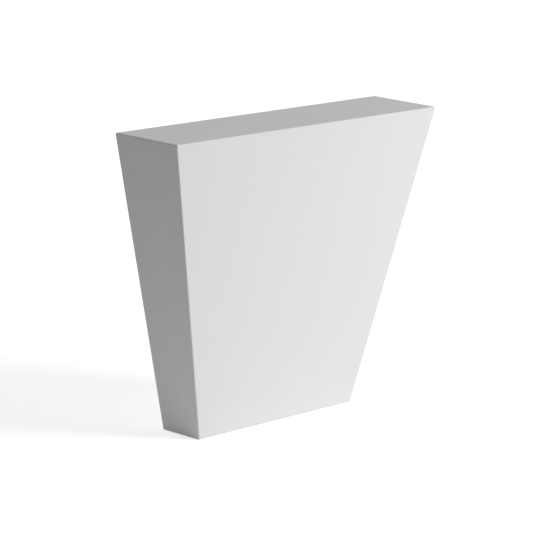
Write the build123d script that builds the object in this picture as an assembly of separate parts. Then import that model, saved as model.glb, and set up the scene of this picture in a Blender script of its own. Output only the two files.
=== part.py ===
from build123d import *

import os

# Plain tapered keystone, moulded in one solid piece for the middle of a window, door or arch head.
# It is wider at the top than at the bottom, and it also stands out further from the wall there.
# Both flanks and the front are flat and slope inwards as they go down. The back is flat and upright.
#
# X runs along the wall, Y points into the wall and Z points up.
# The origin is the middle of the back, on the face of the wall.

# Driving sizes, in millimetres
HEIGHT = 235.0
TOP_WIDTH = 289.0
BOTTOM_WIDTH = 171.5
TOP_PROJECTION = 63.5
BOTTOM_PROJECTION = 38.1
ARRIS_RADIUS = 1.0
WALL_EDGE_RADIUS = 0.6

# Levels of the two flat ends, and the plane of the wall
TOP = HEIGHT / 2
BOTTOM = -HEIGHT / 2
WALL = 0.0


def front_elevation():
    """The keystone seen from in front: a wedge that is centred on X."""
    half_top = TOP_WIDTH / 2
    half_bottom = BOTTOM_WIDTH / 2
    return Polygon(
        (-half_bottom, BOTTOM),
        (half_bottom, BOTTOM),
        (half_top, TOP),
        (-half_top, TOP),
        align=None,
    )


def side_profile():
    """The keystone seen from its end: upright at the wall and sloping at the front."""
    return Polygon(
        (WALL, BOTTOM),
        (WALL, TOP),
        (WALL - TOP_PROJECTION, TOP),
        (WALL - BOTTOM_PROJECTION, BOTTOM),
        align=None,
    )


def sharp_block():
    """The wedge, cut to the slope of its front."""
    deepest = max(TOP_PROJECTION, BOTTOM_PROJECTION)
    half_widest = max(TOP_WIDTH, BOTTOM_WIDTH) / 2
    wedge = extrude(Plane.XZ * front_elevation(), deepest)
    slope = extrude(Plane.YZ * side_profile(), half_widest, both=True)
    return wedge & slope


def soften(block):
    """Round the edges, from the foot up: those that show by one radius, and those at the wall by another."""
    *groups, _ = block.edges().group_by(Axis.Y)
    away_from_wall = ShapeList(edge for group in groups for edge in group)
    block = fillet(away_from_wall.sort_by(Axis.Z), ARRIS_RADIUS)
    at_wall = block.edges().group_by(Axis.Y)[-1]
    return fillet(at_wall, WALL_EDGE_RADIUS)


keystone = soften(sharp_block())

os.makedirs("parts", exist_ok=True)
export_step(keystone, "parts/keystone.step")
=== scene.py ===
import math

import bpy
from mathutils import Matrix, Vector


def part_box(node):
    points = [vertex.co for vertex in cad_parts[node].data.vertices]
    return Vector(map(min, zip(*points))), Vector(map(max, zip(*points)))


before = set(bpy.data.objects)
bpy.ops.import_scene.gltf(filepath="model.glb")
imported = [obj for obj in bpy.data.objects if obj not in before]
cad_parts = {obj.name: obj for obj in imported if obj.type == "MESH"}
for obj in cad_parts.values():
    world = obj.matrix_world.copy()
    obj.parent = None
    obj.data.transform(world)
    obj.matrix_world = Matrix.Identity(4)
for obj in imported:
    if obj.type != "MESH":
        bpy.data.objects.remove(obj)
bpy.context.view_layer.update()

# The keystone stands on its narrow end. X runs along the wall, Y into the wall, Z up, in metres.
LOW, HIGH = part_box("keystone")
HEIGHT = HIGH.z - LOW.z
MID_HEIGHT = (LOW.z + HIGH.z) / 2

# Camera, fitted to the straight edges in the photograph. Its angles start from straight in front. It aims at
# a point at mid height, at that depth in front of the wall, and then by those distances beside and above it.
CAMERA_LEFT_DEG = 47.454
CAMERA_UP_DEG = 12.547
CAMERA_ROLL_DEG = 2.062
CAMERA_DISTANCE = 2.267
CAMERA_POINT_DEPTH = 0.1 * HEIGHT
CAMERA_AIM_RIGHT = 0.00145
CAMERA_AIM_UP = -0.0010
CAMERA_CLIP_END = 100.0
LENS_MM = 197.03
SENSOR_MM = 36.0

# Primer: the middle of its colour and roughness, and how far they stray to either side
PRIMER_WHITE = 0.80
PRIMER_WHITE_STRAY = 0.008
PRIMER_ROUGHNESS = 0.85
PRIMER_ROUGHNESS_STRAY = 0.06
PRIMER_IOR = 1.5
PRIMER_SPECULAR = 0.3

# The patterns that it strays by, in waves a metre, and the range that their noise keeps to
BROAD_SCALE = 9.0
CLOUD_SCALE = 60.0
SPECK_SCALE = 1400.0
NOISE_LOW = 0.3
NOISE_HIGH = 0.7

# How much each pattern counts, first in the colour and then in the roughness
BROAD_IN_WHITE = 0.4
CLOUD_IN_WHITE = 0.3
SPECK_IN_WHITE = 0.3
CLOUD_IN_ROUGHNESS = 0.5
SPECK_IN_ROUGHNESS = 0.5

# Unevenness of the sprayed coat, from the longest waves to the finest grain
WAVES_SCALE = 25.0
WAVES_DEPTH = 0.00004
PEEL_SCALE = 300.0
PEEL_DEPTH = 0.00013
STIPPLE_SCALE = 1100.0
STIPPLE_DEPTH = 0.000015

# Studio: a white table top that fades into a darker room, between these distances from the keystone
FLOOR_SIZE = 30.0
TABLE_REACH = 0.70
ROOM_REACH = 1.20
TABLE_WHITE = 0.90
ROOM_GREY = 0.03
SKY_STRENGTH = 0.284

# What the camera sees of it: a pale floor that glows, so that it is white in the open
SEEN_WHITE = 0.80
TABLE_GLOW = 0.60
ROOM_GLOW = 0.78

# Soft boxes, by their angles from straight in front, their distance and side, and their watts
LAMPS = {
    "key": dict(right_deg=33.9, up_deg=21.5, distance=2.15, size=0.8, power=31.9),
    "back_fill": dict(right_deg=170.0, up_deg=8.0, distance=1.8, size=0.6, power=10.0),
}

WHITE = (1.0, 1.0, 1.0, 1.0)


class Tree:
    """A node tree that is filled by short calls."""

    def __init__(self, tree):
        self.tree = tree
        self.tree.nodes.clear()

    def add(self, kind, **settings):
        """A new node, with its properties set."""
        node = self.tree.nodes.new(kind)
        for name, value in settings.items():
            setattr(node, name, value)
        return node

    def link(self, source, target):
        """A link from one node's output to another's input."""
        self.tree.links.new(source, target)

    def noise(self, place, scale, detail=2.0):
        """A noise pattern, with its scale in waves a metre."""
        node = self.add("ShaderNodeTexNoise")
        node.inputs["Scale"].default_value = scale
        node.inputs["Detail"].default_value = detail
        self.link(place, node.inputs["Vector"])
        return node.outputs["Fac"]

    def math(self, operation, first, second):
        """The outcome of an operation on two values, each a socket or a number."""
        node = self.add("ShaderNodeMath", operation=operation)
        for socket, value in zip(node.inputs, (first, second)):
            if isinstance(value, bpy.types.NodeSocket):
                self.link(value, socket)
            else:
                socket.default_value = value
        return node.outputs["Value"]

    def blend(self, *parts):
        """The sum of some patterns, each times its share."""
        shares = [self.math("MULTIPLY", pattern, share) for pattern, share in parts]
        total = shares[0]
        for share in shares[1:]:
            total = self.math("ADD", total, share)
        return total

    def spread(self, value, low, high, new_low, new_high):
        """A value moved from one range to another and kept inside it."""
        node = self.add("ShaderNodeMapRange")
        limits = (low, high, new_low, new_high)
        for name, limit in zip(("From Min", "From Max", "To Min", "To Max"), limits):
            node.inputs[name].default_value = limit
        self.link(value, node.inputs["Value"])
        return node.outputs["Result"]

    def stray(self, pattern, middle, reach):
        """A value that follows a noise pattern to either side of its middle."""
        return self.spread(pattern, NOISE_LOW, NOISE_HIGH, middle - reach, middle + reach)

    def grey(self, value):
        """A neutral colour of that value."""
        node = self.add("ShaderNodeCombineColor")
        for name in ("Red", "Green", "Blue"):
            self.link(value, node.inputs[name])
        return node.outputs["Color"]

    def bump(self, height, depth, before=None):
        """A bump of that depth in metres, laid over the one before."""
        node = self.add("ShaderNodeBump")
        node.inputs["Distance"].default_value = depth
        self.link(height, node.inputs["Height"])
        if before is not None:
            self.link(before, node.inputs["Normal"])
        return node.outputs["Normal"]

    def coloured(self, kind, colour):
        """A new shader node of one plain colour."""
        node = self.add(kind)
        node.inputs["Color"].default_value = colour
        return node

    def seen_directly(self):
        """One for what is seen, also mirrored or through glass, and zero for what lights the object."""
        path = self.add("ShaderNodeLightPath").outputs
        seen = self.math("MAXIMUM", path["Is Camera Ray"], path["Is Glossy Ray"])
        return self.math("MAXIMUM", seen, path["Is Transmission Ray"])

    def show(self, lighting, seen, output):
        """One shader for the light that reaches the object, and another for what is seen directly."""
        mix = self.add("ShaderNodeMixShader")
        self.link(self.seen_directly(), mix.inputs["Fac"])
        self.link(lighting, mix.inputs[1])
        self.link(seen, mix.inputs[2])
        self.link(mix.outputs["Shader"], self.add(output).inputs["Surface"])


def primer_material():
    """Matt white primer, sprayed on moulded foam, with the faint orange peel that spraying leaves."""
    material = bpy.data.materials.new("white_primer")
    material.use_nodes = True
    tree = Tree(material.node_tree)
    place = tree.add("ShaderNodeTexCoord").outputs["Object"]
    shader = tree.add("ShaderNodeBsdfPrincipled")
    output = tree.add("ShaderNodeOutputMaterial")
    tree.link(shader.outputs["BSDF"], output.inputs["Surface"])

    broad = tree.noise(place, BROAD_SCALE)
    cloud = tree.noise(place, CLOUD_SCALE, detail=3.0)
    speck = tree.noise(place, SPECK_SCALE)
    tone = tree.blend((broad, BROAD_IN_WHITE), (cloud, CLOUD_IN_WHITE), (speck, SPECK_IN_WHITE))
    white = tree.stray(tone, PRIMER_WHITE, PRIMER_WHITE_STRAY)
    tree.link(tree.grey(white), shader.inputs["Base Color"])

    sheen = tree.blend((cloud, CLOUD_IN_ROUGHNESS), (speck, SPECK_IN_ROUGHNESS))
    rough = tree.stray(sheen, PRIMER_ROUGHNESS, PRIMER_ROUGHNESS_STRAY)
    tree.link(rough, shader.inputs["Roughness"])

    waves = tree.bump(tree.noise(place, WAVES_SCALE, detail=1.0), WAVES_DEPTH)
    peel = tree.bump(tree.noise(place, PEEL_SCALE), PEEL_DEPTH, before=waves)
    stipple = tree.bump(tree.noise(place, STIPPLE_SCALE), STIPPLE_DEPTH, before=peel)
    tree.link(stipple, shader.inputs["Normal"])
    shader.inputs["IOR"].default_value = PRIMER_IOR
    shader.inputs["Specular IOR Level"].default_value = PRIMER_SPECULAR
    return material


def dress_keystone():
    """The moulded block keeps its own form and gets its primer."""
    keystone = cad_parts["keystone"]
    keystone.data.materials.clear()
    keystone.data.materials.append(primer_material())


def distance_along_floor(tree):
    """How far a point of the floor is from the middle of the keystone's back."""
    flatten = tree.add("ShaderNodeVectorMath", operation="MULTIPLY")
    flatten.inputs[1].default_value = (1.0, 1.0, 0.0)
    tree.link(tree.add("ShaderNodeNewGeometry").outputs["Position"], flatten.inputs[0])
    length = tree.add("ShaderNodeVectorMath", operation="LENGTH")
    tree.link(flatten.outputs["Vector"], length.inputs[0])
    return length.outputs["Value"]


def floor_material():
    """A white table top round the keystone, fading to a darker room that throws less light back at it.

    The camera sees a paler floor, with a glow that makes it white in the open and leaves the shadow on it.
    """
    material = bpy.data.materials.new("floor")
    material.use_nodes = True
    tree = Tree(material.node_tree)
    away = distance_along_floor(tree)
    table = tree.add("ShaderNodeBsdfDiffuse")
    colour = tree.spread(away, TABLE_REACH, ROOM_REACH, TABLE_WHITE, ROOM_GREY)
    tree.link(tree.grey(colour), table.inputs["Color"])

    matt = tree.coloured("ShaderNodeBsdfDiffuse", (SEEN_WHITE, SEEN_WHITE, SEEN_WHITE, 1.0))
    glow = tree.coloured("ShaderNodeEmission", WHITE)
    strength = tree.spread(away, TABLE_REACH, ROOM_REACH, TABLE_GLOW, ROOM_GLOW)
    tree.link(strength, glow.inputs["Strength"])
    pale = tree.add("ShaderNodeAddShader")
    tree.link(matt.outputs["BSDF"], pale.inputs[0])
    tree.link(glow.outputs["Emission"], pale.inputs[1])

    tree.show(table.outputs["BSDF"], pale.outputs["Shader"], "ShaderNodeOutputMaterial")
    return material


def make_floor():
    """A plain floor, level with the foot of the keystone."""
    half = FLOOR_SIZE / 2
    level = LOW.z
    mesh = bpy.data.meshes.new("floor")
    corners = [(-half, -half, level), (half, -half, level), (half, half, level), (-half, half, level)]
    mesh.from_pydata(corners, [], [(0, 1, 2, 3)])
    mesh.materials.append(floor_material())
    floor = bpy.data.objects.new("floor", mesh)
    bpy.context.scene.collection.objects.link(floor)


def make_sky():
    """Even white light from all round, in front of a white background."""
    world = bpy.data.worlds.new("studio")
    bpy.context.scene.world = world
    world.use_nodes = True
    tree = Tree(world.node_tree)
    light = tree.coloured("ShaderNodeBackground", WHITE)
    light.inputs["Strength"].default_value = SKY_STRENGTH
    background = tree.coloured("ShaderNodeBackground", WHITE)
    tree.show(light.outputs["Background"], background.outputs["Background"], "ShaderNodeOutputWorld")


def make_lamp(name, right_deg, up_deg, distance, size, power):
    """A square soft box that faces the keystone, placed by its angles from straight in front."""
    right = math.radians(right_deg)
    up = math.radians(up_deg)
    towards = Vector((math.sin(right) * math.cos(up), -math.cos(right) * math.cos(up), math.sin(up)))
    data = bpy.data.lights.new(name, "AREA")
    data.shape = "SQUARE"
    data.size = size
    data.energy = power
    lamp = bpy.data.objects.new(name, data)
    lamp.location = towards * distance
    lamp.rotation_euler = towards.to_track_quat("Z", "Y").to_euler()
    bpy.context.scene.collection.objects.link(lamp)


def make_camera():
    """A long lens at the photograph's viewing angle, a little rolled as it was there."""
    left = math.radians(CAMERA_LEFT_DEG)
    up = math.radians(CAMERA_UP_DEG)
    roll = math.radians(CAMERA_ROLL_DEG)
    forward = Vector((math.sin(left) * math.cos(up), math.cos(left) * math.cos(up), -math.sin(up)))
    level_right = forward.cross(Vector((0, 0, 1))).normalized()
    level_up = level_right.cross(forward)
    right = level_right * math.cos(roll) + level_up * math.sin(roll)
    above = level_up * math.cos(roll) - level_right * math.sin(roll)
    point = Vector((0, -CAMERA_POINT_DEPTH, MID_HEIGHT))
    aim = point + right * CAMERA_AIM_RIGHT + above * CAMERA_AIM_UP
    data = bpy.data.cameras.new("camera")
    data.sensor_width = SENSOR_MM
    data.lens = LENS_MM
    data.clip_end = CAMERA_CLIP_END
    camera = bpy.data.objects.new("camera", data)
    bpy.context.scene.collection.objects.link(camera)
    turn = Matrix((right, above, -forward)).transposed().to_4x4()
    camera.matrix_world = Matrix.Translation(aim - forward * CAMERA_DISTANCE) @ turn
    bpy.context.scene.camera = camera


dress_keystone()
make_floor()
make_sky()
for lamp_name, lamp_settings in LAMPS.items():
    make_lamp(lamp_name, **lamp_settings)
make_camera()
bpy.context.scene.view_settings.view_transform = "Standard"
